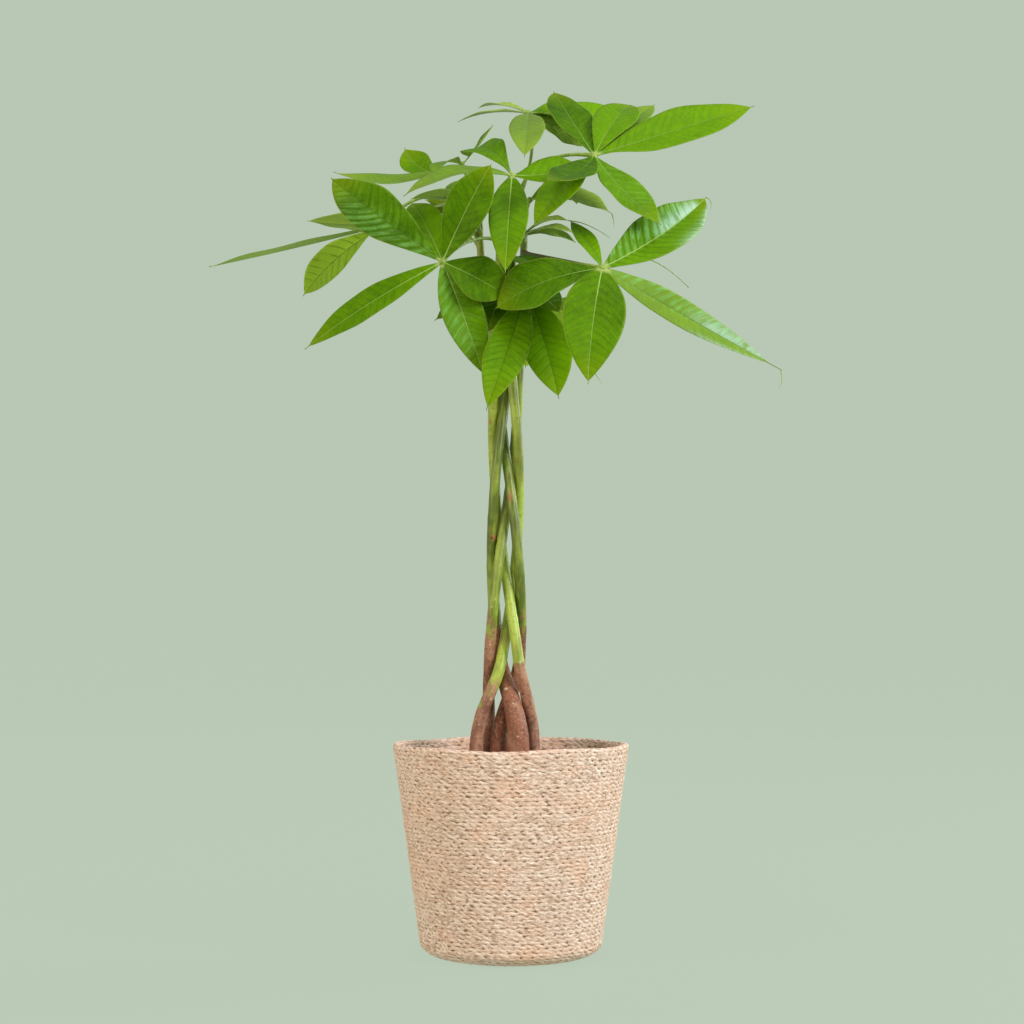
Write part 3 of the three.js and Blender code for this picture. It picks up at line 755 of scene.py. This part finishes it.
# ---------------------------------------------------------------- basket
def basket_path():
    """The basket's outer skin as (radius, height) points, from the flat ring up the side,
    over the rim and down the inner wall, with the length up to each point and the number
    of points before the inner wall."""
    b = BASKET
    rim_round = b["wall"] / 2
    turn = np.radians(np.arange(0, 91, 6))
    corner = stack(mix(b["flat_radius"], b["corner_radius"], np.sin(turn)),
                   b["corner_height"] * (1 - np.cos(turn)))
    side_top = np.array([b["rim_radius"], b["height"] - rim_round])
    side = mix(corner[-1], side_top, np.linspace(0, 1, 40)[1:, None])
    over = np.radians(np.arange(6, 181, 6))
    rim = stack(b["rim_radius"] - rim_round + rim_round * np.cos(over),
                side_top[1] + rim_round * np.sin(over))
    wall_down = rim[-1] + (corner[-1] - side_top) * np.linspace(0, 1, 40)[1:, None]
    path = np.concatenate([corner, side, rim, wall_down])
    lengths = np.concatenate([[0], np.cumsum(np.linalg.norm(np.diff(path, axis=0), axis=1))])
    return path, lengths, len(corner) + len(side) + len(rim)


def rope_relief(rng, lengths, angles, radii):
    """The relief of two-strand ropes laid side by side: for each length along the skin and
    each angle, the depth under the crest, the place along and around the strand on top and
    a number of its own."""
    pitch, orbit, radius, flat = ROPE["pitch"], ROPE["strand_orbit"], ROPE["strand_radius"], ROPE["flat"]
    crest = orbit + radius
    best = np.full((len(lengths), len(angles)), NOWHERE)
    along, around_strand, own = (np.zeros_like(best) for _ in range(3))
    sway = waves(rng, angles, 2, 7)
    for row in range(-1, int(lengths[-1] / pitch) + 3):
        centre_length = (row + 0.5) * pitch
        row_radius = np.interp(centre_length, lengths, radii)
        twists = max(round(TURN * row_radius / ROPE["lay"]), 4)
        wander = 0.5 * waves(rng, angles, 3, 9) + 0.45 * waves(rng, angles, 14, 34)
        sway = 0.8 * sway + 0.6 * waves(rng, angles, 2, 9)
        centre = centre_length + ROPE["sway"] * sway + ROPE["jitter"] * waves(rng, angles, 20, 44)
        phase = rng.uniform(0, TURN) - twists * angles + ROPE["wander"] * wander
        fat = 1 + ROPE["fat"] * waves(rng, angles, 14, 60)
        lift = ROPE["lift"] * waves(rng, angles, 8, 60)
        near = np.abs(lengths - centre_length) < 1.6 * pitch
        offset = lengths[near, None] - centre[None, :]
        for strand in (0, 1):
            turned = phase + strand * math.pi
            strand_radius = radius * fat
            across = offset - orbit * np.sin(turned)
            inside = strand_radius**2 - across**2
            height = lift + flat * (orbit * np.cos(turned) + np.sqrt(np.maximum(inside, 0)) - crest)
            height = np.where(inside > 0, height, NOWHERE)
            wins = height > best[near]
            passes = np.floor(turned / TURN + 0.5)
            tone = hashed(passes, np.full_like(passes, row), np.full_like(passes, strand))
            spun = np.arctan2(across, np.sqrt(np.maximum(inside, 1e-6))) * strand_radius
            layers = (best, height), (along, angles * row_radius), (around_strand, spun), (own, tone)
            for layer, value in layers:
                part = layer[near]
                part[wins] = np.broadcast_to(value, across.shape)[wins]
                layer[near] = part
    return np.maximum(best, -ROPE["deepest"]), along, around_strand, own


def woven_skin(rng, piece):
    """The woven skin from the base ring over the rim. Returns its last radius and height."""
    path, lengths, rim_end = basket_path()
    pitch = ROPE["pitch"]
    woven_end = lengths[rim_end - 1] + ROPE["rows_inside"] * pitch
    stations = np.arange(0, woven_end, pitch / ROPE["samples"])
    radii = np.interp(stations, lengths, path[:, 0])
    heights = np.interp(stations, lengths, path[:, 1])
    slope = unit(stack(np.gradient(radii), np.gradient(heights)))
    outward = stack(slope[:, 1], -slope[:, 0])
    angles = around(ROPE["columns"])
    depth, along, around_strand, own = rope_relief(rng, stations, angles, radii)
    lip = smooth((heights - RIM_WAVES["foot"]) / (BASKET["height"] - RIM_WAVES["foot"]))[:, None]
    bulge = RIM_WAVES["bulge"] * waves(rng, angles, 1, 4) * lip
    radius = radii[:, None] + outward[:, :1] * depth + bulge
    height = heights[:, None] + outward[:, 1:] * depth + RIM_WAVES["rise"] * waves(rng, angles, 2, 6) * lip
    points = polar(radius, angles, height)
    points[..., 2] = np.maximum(points[..., 2], 0)
    inside = smooth((stations - lengths[rim_end - 1]) / pitch)[:, None]
    # the value "hidden" carries painted shade: groove depth and the inner wall
    piece.wrap(points, fibre=stack(along, around_strand, own),
               hidden=stack(-depth / ROPE["deepest"], inside, 0))
    return radii[-1], heights[-1]


def coiled_base(piece):
    """The underside, one flat coil of rope with ridges a row apart."""
    pitch, relief, sides = ROPE["pitch"], BASE_COIL["relief"], BASE_COIL["sides"]
    radii = np.arange(0.5, BASKET["flat_radius"] + 0.1, BASE_COIL["step"])[::-1]
    base = lathe([(r, relief * abs(math.sin(math.pi * r / pitch))) for r in radii], sides)
    base[0, :, 2] = 0
    base[..., 2] = np.clip(relief - base[..., 2], 0, relief)
    angles = around(sides)
    ring = np.floor(radii[:, None] / pitch)
    own = hashed(ring, np.floor(angles * 6 + ring))
    fibre = stack(radii[:, None] * angles, radii[:, None], own)
    # painted shade: the underside a little darker
    piece.wrap(base, inward=True, fibre=fibre, hidden=(0.3, 0.5, 0))


def make_basket():
    piece = Piece()
    skin_radius, skin_height = woven_skin(np.random.default_rng(SEED), piece)
    inner_foot = BASKET["corner_radius"] - BASKET["wall"]
    lining = lathe([
        (skin_radius - 1.2, skin_height - 0.4),
        (inner_foot, BASKET["corner_height"]),
        (inner_foot - BASKET["floor"], BASKET["floor"]),
        (0.5, BASKET["floor"]),
    ], 96)
    # painted shade: the lining darker, as a groove on the inner wall
    piece.wrap(lining, fibre=(0.5, 0.5, 0.5), hidden=(0.8, 1, 0))
    coiled_base(piece)
    settle(piece.make("basket_woven", [seagrass_material()]), "basket")


# ---------------------------------------------------------------- nursery pot and soil
def pot_radius(height):
    return mix(POT["foot_radius"], POT["top_radius"], (height - POT["foot"]) / POT["height"])


def make_pot():
    foot, top, wall = POT["foot"], POT["foot"] + POT["height"], POT["wall"]
    lip_foot = top - POT_LIP["height"]
    lip_radius = POT["top_radius"] + POT_LIP["width"]
    soft = POT_LIP["round"]
    profile = [
        (0.5, foot), (POT["foot_radius"] - 2, foot), (POT["foot_radius"], foot + 1.5),
        (pot_radius(lip_foot) - soft, lip_foot), (lip_radius - soft, lip_foot),
        (lip_radius, lip_foot + soft), (lip_radius, top - soft), (lip_radius - soft, top),
        (POT["top_radius"] - wall + soft, top), (POT["top_radius"] - wall, top - soft),
        (pot_radius(lip_foot) - wall, lip_foot), (pot_radius(foot) - wall, foot + wall), (0.5, foot + wall),
    ]
    # a point close to each end of every line keeps smooth shading off its flat middle
    sharp = []
    for before, after in zip(profile, profile[1:]):
        sharp += [before] + [mix(np.array(before), np.array(after), share) for share in (0.04, 0.96)]
    piece = Piece()
    piece.wrap(lathe(sharp + [profile[-1]], 120))
    settle(piece.make("pot_lipped", [pot_material()]), "nursery_pot")


def ball(radius, rings=5, sides=8):
    tilt = np.linspace(0.15, math.pi - 0.15, rings)
    return lathe([(radius * math.sin(a), -radius * math.cos(a)) for a in tilt], sides)


def add_crumb(piece, rng, height, edge):
    """A crumb or a chip of wood at a random place on the soil, whose grid of heights runs
    inwards from its edge."""
    large, chip = CRUMB["large"], CRUMB["chip"]
    reach, heading = edge * CRUMB["reach"] * math.sqrt(rng.uniform()), rng.uniform(0, TURN)
    size = rng.uniform(*CRUMB["size"]) * (large["scale"] if rng.uniform() < large["chance"] else 1)
    is_chip = rng.uniform() < chip["chance"]
    lump = ball(size) * rng.uniform(*CRUMB["uneven"], 3)
    if is_chip:
        lump *= chip["shape"]
    spin = rng.uniform(0, TURN)
    turn = np.array([
        [math.cos(spin), -math.sin(spin), 0],
        [math.sin(spin), math.cos(spin), 0],
        [0, 0, 1],
    ])
    lump = lump @ turn.T + rng.normal(0, CRUMB["rough"] * size, lump.shape)
    ring = np.abs(soil_shares() * edge - reach).argmin()
    ground = height[ring, int(heading / TURN * SOIL["sides"]) % SOIL["sides"]]
    lump += (reach * math.cos(heading), reach * math.sin(heading), ground + CRUMB["out"] * size)
    piece.wrap(lump, tone=chip["tone"] if is_chip else rng.uniform(*CRUMB["tone"]))


def soil_shares():
    """The rings of the soil's surface, as shares of the way out to its edge."""
    return np.linspace(1, 0.005, SOIL["rings"])


def make_soil():
    rng = np.random.default_rng(SEED + 1)
    top, foot = SOIL["top"], SOIL["foot"]
    angles = around(SOIL["sides"])
    edge = pot_radius(top) - POT["wall"] - SOIL["clearance"]
    radii = soil_shares()[:, None] * edge
    x, y = radii * np.cos(angles), radii * np.sin(angles)
    height = np.full_like(x, float(top))
    for size, swell in SOIL_SWELLS:
        for _ in range(7):
            heading, shift = rng.uniform(0, TURN, 2)
            wave = np.sin((x * math.cos(heading) + y * math.sin(heading)) * TURN / size + shift)
            height += swell * SOIL["rough"] * wave
    heap = sum(np.exp(-((x - s["foot"][0]) ** 2 + (y - s["foot"][1]) ** 2) / SOIL["heap_area"])
               for s in STEMS.values())
    height += SOIL["heap"] * np.minimum(heap, SOIL["most_heap"])
    foot_edge = pot_radius(foot) - POT["wall"] - SOIL["clearance"]
    below = lathe([(0.5, foot), (foot_edge, foot), (edge - 0.3, top - 4)], SOIL["sides"])
    piece = Piece()
    piece.wrap(np.concatenate([below, stack(x, y, height)]), tone=0)
    for _ in range(SOIL["crumbs"]):
        add_crumb(piece, rng, height, edge)
    settle(piece.make("soil_crumbly", [soil_material()]), "soil")


# ---------------------------------------------------------------- stems
def stem_points(stem, heights):
    """The axis of a stem at heights, as in the CAD. It winds around the others in the braid
    and parts from them at its foot and at its tip."""
    b = BRAID
    heights = np.asarray(heights, float)
    over = np.maximum(heights - b["top"] + b["ease"], 0)
    braid_height = heights - over + b["ease"] * (1 - np.exp(-over / b["ease"]))
    angle = np.radians(stem["phase"] - 360 * (braid_height - b["start"]) / b["turn"])
    towards_foot = np.clip((b["top"] - heights) / (b["top"] - b["foot"]), 0, 1)
    half_width = b["half_width"] + b["extra_half_width"] * towards_foot**3
    half_depth = b["half_depth"] + b["extra_half_depth"] * towards_foot**3
    x = b["centre"] + half_width * np.sin(angle)
    y = -half_depth * np.sin(2 * angle)
    spread = smooth((b["foot_top"] - heights) / (b["foot_top"] - b["foot"]))
    tip_x, tip_y, tip_height = stem["tip"]
    parting = smooth((heights - b["top"] + 20) / (tip_height - b["top"] + 20))
    x = mix(mix(x, stem["foot"][0], spread), tip_x, parting)
    y = mix(mix(y, stem["foot"][1], spread), tip_y, parting)
    return stack(x, y, heights)


def stem_radii(stem, heights):
    towards_foot = np.clip((BRAID["top"] - heights) / (BRAID["top"] - BRAID["foot"]), 0, 1)
    towards_tip = np.clip((heights - BRAID["top"]) / (stem["tip"][2] - BRAID["top"]), 0, 1)
    trunk = mix(STEM["radius"], stem["foot_radius"], towards_foot**4)
    return mix(trunk, STEM["tip_radius"], towards_tip)


def mark_stem(name, z, turn, rng):
    """How pale, dark, rusty and green each point of a stem is: its known marks, and others
    like them on the far side."""
    stray = STRAY_MARKS
    marks = [(height, math.radians(heading), *rest) for height, heading, *rest in MARKS[name]]
    height = rng.uniform(*stray["first"])
    while height < STEMS[name]["tip"][2] - stray["below_tip"]:
        kind = rng.dirichlet((0.5, 0.4, 0.6)) * stray["strength"]
        marks.append((height, rng.uniform(0.15, 0.85) * math.pi, rng.uniform(*stray["size"]), *kind, 0))
        height += rng.uniform(*stray["apart"])
    values = np.zeros((4, *z.shape))
    for height, heading, size, *kind in marks:
        near = np.angle(np.exp(1j * (turn - heading))) * STEM["radius"]
        spot = np.exp(-((z - height) / (0.7 * size)) ** 2 - (near / (0.55 * size)) ** 2)
        values = np.maximum(values, np.multiply.outer(kind, spot))
    return values


def make_stem(name, stem, rng, material):
    tip = stem["tip"][2]
    heights = np.arange(SOIL["top"] - STEM["buried"], tip, STEM["step"])
    angles = around(STEM["sides"])
    radii = np.repeat(stem_radii(stem, heights)[:, None], STEM["sides"], 1)
    z, turn = np.meshgrid(heights, angles, indexing="ij")
    pale, dark, rust, green = mark_stem(name, z, turn, rng)
    aged = smooth((stem["bark"] + stem["fade"] - z) / (2 * stem["fade"])) * (1 - green)
    lumps = np.sin(z / 9.0 + 2 * turn + rng.uniform(0, 6)) * np.sin(z / 23.0 - turn + rng.uniform(0, 6))
    radii *= 1 + (0.012 + 0.02 * aged) * lumps
    radii += 0.25 * pale + 0.2 * rust - 0.3 * dark
    ring_height = rng.uniform(*LEAF_SCARS["first"])
    while ring_height < tip - LEAF_SCARS["below_tip"]:
        radii += LEAF_SCARS["rise"] * np.exp(-((z - ring_height) / LEAF_SCARS["width"]) ** 2)
        ring_height += rng.uniform(*LEAF_SCARS["apart"])
    piece = Piece()
    # pink and light are partly painted shade and light, set stem by stem
    piece.wrap(tube(stem_points(stem, heights), radii, STEM["sides"]),
               bark=aged, pink=stem["pink"], light=stem["light"], marks=stack(pale, dark, rust))
    bud_line = stem_points(stem, [tip]) + np.outer([rise for rise, _ in BUD], (0, 0, 1))
    piece.wrap(tube(bud_line, [radius for _, radius in BUD], STEM["sides"]))
    settle(piece.make(f"stem_{name}_bark", [material]), f"stem_{name}")


# ---------------------------------------------------------------- leaves
UPPER, UNDER, STALK = range(3)


def blade_frame(leaf, blade, shares):
    """The midrib's points, with the directions out of the upper face and to the side, at
    each share of the length."""
    start, end = np.array(leaf["hub"], float), np.array(blade["tip"], float)
    chord = end - start
    along = unit(chord)
    up = np.array(leaf["facing"], float)
    up = unit(up - along * np.dot(up, along))
    aside = np.cross(up, along)
    bend = start + 0.55 * chord + 2 * blade["arch"] * up + 2 * blade["sway"] * aside
    s = shares[:, None]
    centre = bezier(start, bend, end, s)
    tangent = unit((bend - start) * (1 - s) + (end - bend) * s)
    normal = unit(up - tangent * row_dot(up, tangent))
    roll = np.radians(blade["roll"]) * smooth(s / 0.3)
    normal = normal * np.cos(roll) + np.cross(tangent, normal) * np.sin(roll)
    return centre, normal, np.cross(normal, tangent)


def blade_half_width(blade, s):
    """Half the blade's width at each share s of its length, and how much of it is stalk."""
    body_end = 1 - blade["nib"]
    power = math.log(0.5) / math.log(blade["widest"] / body_end)
    inner = np.clip(s / body_end, 0, 1)
    outline = np.maximum(np.sin(math.pi * inner**power), 0) ** BLADE["fullness"] * blade["width"] / 2
    nib = BLADE["nib_radius"] * (1 - 0.6 * np.clip((s - body_end) / max(blade["nib"], 1e-6), 0, 1))
    stalk = 1 - np.clip(s / BLADE["stalk_end"], 0, 1)
    return np.sqrt(outline**2 + nib**2 + (BLADE["stalk_radius"] * stalk) ** 2), stalk


def add_blade(piece, leaf, blade, rng):
    """One leaflet: s runs along it from 0 to 1, and t across it from -1 to 1."""
    length = math.dist(leaf["hub"], blade["tip"])
    stations = max(int(length / BLADE["station"]), BLADE["fewest_stations"])
    shares = np.linspace(0, 1, stations)
    centre, normal, side = (rows[:, None] for rows in blade_frame(leaf, blade, shares))
    even = np.linspace(-1, 1, 2 * BLADE["across"] + 1)
    t = np.sign(even) * np.abs(even) ** 1.35
    s = shares[:, None]
    away = np.abs(t)[None, :]
    half_width, stalk = blade_half_width(blade, s)

    # veins, and the blade's swelling between them
    swell = smooth(s / 0.12) * smooth((1 - s) / 0.1)
    from_rib = t[None, :] * half_width
    slant = BLADE["vein_slant"] * np.abs(from_rib) + BLADE["vein_curve"] * from_rib**2
    shift = np.where(t < 0, 0.4, 0.0)[None, :] + rng.uniform(0, 1)
    uneven = 0.17 * np.sin(s * length / 9 + np.where(t < 0, *rng.uniform(0, 6, 2)))
    veins = (s * length - slant) / BLADE["vein_gap"] + shift + uneven + 40
    between = np.abs(np.sin(math.pi * veins))
    panel = np.maximum(np.sin(math.pi * away), 0) ** 0.5
    quilt = blade["quilt"] * (between**0.8 - 0.55) * panel * swell
    scallop = 0.28 * blade["quilt"] * (between - 0.5) * smooth((away - 0.7) / 0.3) * swell

    # wavy margins, the fold along the midrib and the rib under it
    flutter = rng.uniform(1.6, 3.2, 2)
    phases = rng.uniform(0, TURN, 2)
    wave = np.where(t[None, :] > 0, *(np.sin(TURN * flutter[i] * s + phases[i]) for i in range(2)))
    lift = 0.045 * half_width * wave * away**2.2 * swell
    cup = BLADE["fold"] * half_width * (1.3 * away - 0.3 * away**3) * (1 - stalk)
    surface = cup + quilt + lift
    rib = np.exp(-((from_rib / 0.9) ** 2)) * (1 - stalk)
    thick = mix(BLADE["thickness"] / 2, BLADE["stalk_radius"], stalk)
    rounded = mix(np.ones_like(away), np.sqrt(np.maximum(1 - away**2, 0.02)), stalk)
    upper = surface + thick * rounded * (1 - 0.5 * away**4) - 0.22 * rib * swell
    under = surface - thick * rounded * (1 - 0.5 * away**4) - mix(0.9, 0.15, s) * rib

    spread = (from_rib + np.sign(t)[None, :] * scallop)[..., None]
    values = {
        "blade": stack(veins, from_rib, s),
        "look": np.full((*from_rib.shape, 3), (blade["tone"], blade["pale"], blade["painted_gloss"])),
        "lines": stack(blade["rib"], blade["vein"], away + 0 * s),
        # painted highlight: a whiter frost near the midrib on one side and at the margin on the other
        "frost": blade["frost"] * np.where(t > 0, np.exp(-((from_rib / 9) ** 2)), away**6)
        * smooth((s - 0.4) / 0.2) * smooth((0.93 - s) / 0.08),
    }
    columns = len(t)
    faces = grid_faces(stations, columns)
    first = piece.count
    piece.add(centre + side * spread + normal * upper[..., None], faces, UPPER, **values)
    piece.add(centre + side * spread + normal * under[..., None], faces[:, ::-1], UNDER, **values)

    # the rim that joins both faces, along the two margins and across the tip
    total = stations * columns
    rim = []
    for column in (0, columns - 1):
        i = np.arange(stations - 1) * columns + column
        strip = stack(i, i + total, i + total + columns, i + columns)
        rim.append(strip if column == 0 else strip[:, ::-1])
    last = (stations - 1) * columns + np.arange(columns - 1)
    rim.append(stack(last, last + total, last + total + 1, last + 1))
    rim = np.concatenate(rim)
    piece.faces.extend((rim + first).tolist())
    piece.slots.extend([UPPER] * len(rim))


def make_leaf(name, leaf, rng, materials):
    p = PETIOLE
    piece = Piece()
    for blade in leaf["leaflets"]:
        add_blade(piece, leaf, blade, rng)
    shares = np.linspace(0, 1, p["steps"] + 1)
    start = stem_points(STEMS[leaf["stem"]], [leaf["height"]])[0]
    line = bezier(start, np.array(leaf["bend"], float), np.array(leaf["hub"], float), shares[:, None])
    base = (p["base_radius"] - p["radius"]) * (1 - smooth(shares / 0.25))
    end = (p["end_radius"] - p["radius"]) * smooth((shares - 0.85) / 0.15)
    browned = np.maximum(0.6 * (1 - smooth(shares / 0.08)), leaf["brown"] * (1 - shares**4))
    piece.wrap(tube(line, p["radius"] + base + end, p["sides"]), STALK,
               tone=browned[:, None])
    piece.wrap(ball(HUB_RADIUS, 9, 14) + np.array(leaf["hub"], float), STALK)
    for leaf_name, corners in THREADS:
        if leaf_name == name:
            piece.wrap(tube(smooth_line(corners, 24), np.linspace(0.5, 0.15, 24), 8), STALK)
    settle(piece.make(f"{name}_blades", materials), name)


def make_plant():
    rng = np.random.default_rng(SEED + 2)
    bark = bark_material()
    for name, stem in STEMS.items():
        make_stem(name, stem, rng, bark)
    leaf_faces = [leaf_material(*paints) for paints in LEAF_PAINTS] + [stalk_material()]
    for name, leaf in LEAVES.items():
        make_leaf(name, leaf, rng, leaf_faces)


# ---------------------------------------------------------------- studio
CAMERA = {"place": (0.0009, -1.8, 0.3), "tilt": 3.2, "lens": 69.2, "sensor": 36}
COVE = {"floor_radius": 3.2, "bend": 1.4, "height": 4.5}
# name: place, aim, size, power and colour
LIGHTS = {
    "key": ((2.3, -1.7, 1.6), (0, 0, 0.42), 1.2, 78, (1.0, 0.99, 1.0)),
    "fill": ((-2.1, -1.6, 1.0), (0, 0, 0.3), 1.8, 39, (1.0, 0.79, 0.67)),
    "top": ((0.2, -1.0, 2.4), (0, 0, 0.65), 1.2, 18, (0.96, 0.99, 1.0)),
    "edge": ((2.1, 1.1, 1.1), (0, 0, 0.45), 0.9, 24, (0.92, 1.0, 0.94)),
}
SKY = {"colour": (0.9, 0.95, 1.0), "strength": 0.4}
PALE_GREEN = (0.485, 0.578, 0.462)


def make_camera():
    data = bpy.data.cameras.new("camera")
    data.lens = CAMERA["lens"]
    data.sensor_width = CAMERA["sensor"]
    camera = put("camera", data)
    camera.location = CAMERA["place"]
    camera.rotation_euler = (math.radians(90 + CAMERA["tilt"]), 0, 0)
    bpy.context.scene.camera = camera


def make_lights():
    scene = bpy.context.scene
    for name, (place, aim, size, power, colour) in LIGHTS.items():
        data = bpy.data.lights.new(name, "AREA")
        data.size = size
        data.energy = power
        data.color = colour
        light = put(name, data)
        light.location = place
        light.rotation_euler = (Vector(aim) - Vector(place)).to_track_quat("-Z", "Y").to_euler()
    world = bpy.data.worlds.new("studio")
    world.use_nodes = True
    background = world.node_tree.nodes["Background"]
    background.inputs["Color"].default_value = (*SKY["colour"], 1)
    background.inputs["Strength"].default_value = SKY["strength"]
    scene.world = world
    scene.view_settings.view_transform = "Standard"


def make_cove():
    """A pale floor that curves up into a wall all round, so that no horizon shows."""
    reach, bend = COVE["floor_radius"], COVE["bend"]
    turn = np.radians(np.arange(6, 91, 6))
    profile = [(0.01, 0.0), (1.0, 0.0), (2.0, 0.0), (reach, 0.0)]
    profile += [(reach + bend * math.sin(a), bend * (1 - math.cos(a))) for a in turn]
    profile.append((reach + bend, COVE["height"]))
    piece = Piece()
    piece.wrap(lathe([(radius / MM, height / MM) for radius, height in profile], 128), inward=True)
    shader = Shader("plain_pale_floor", roughness=0.9, Specular_IOR_Level=0.1,
                    Emission_Color=(*PALE_GREEN, 1), Emission_Strength=0.972)
    drift = shader.noise(shader.place(), 1.5, 1)
    colour = shader.coat((0.012, 0.0145, 0.0115), (drift, 0.3, 0.7, 0.0, 1.0, (0.013, 0.0155, 0.0125)))
    piece.make("floor", [shader.finish(colour)])


make_camera()
make_lights()
make_cove()
make_basket()
make_pot()
make_soil()
make_plant()
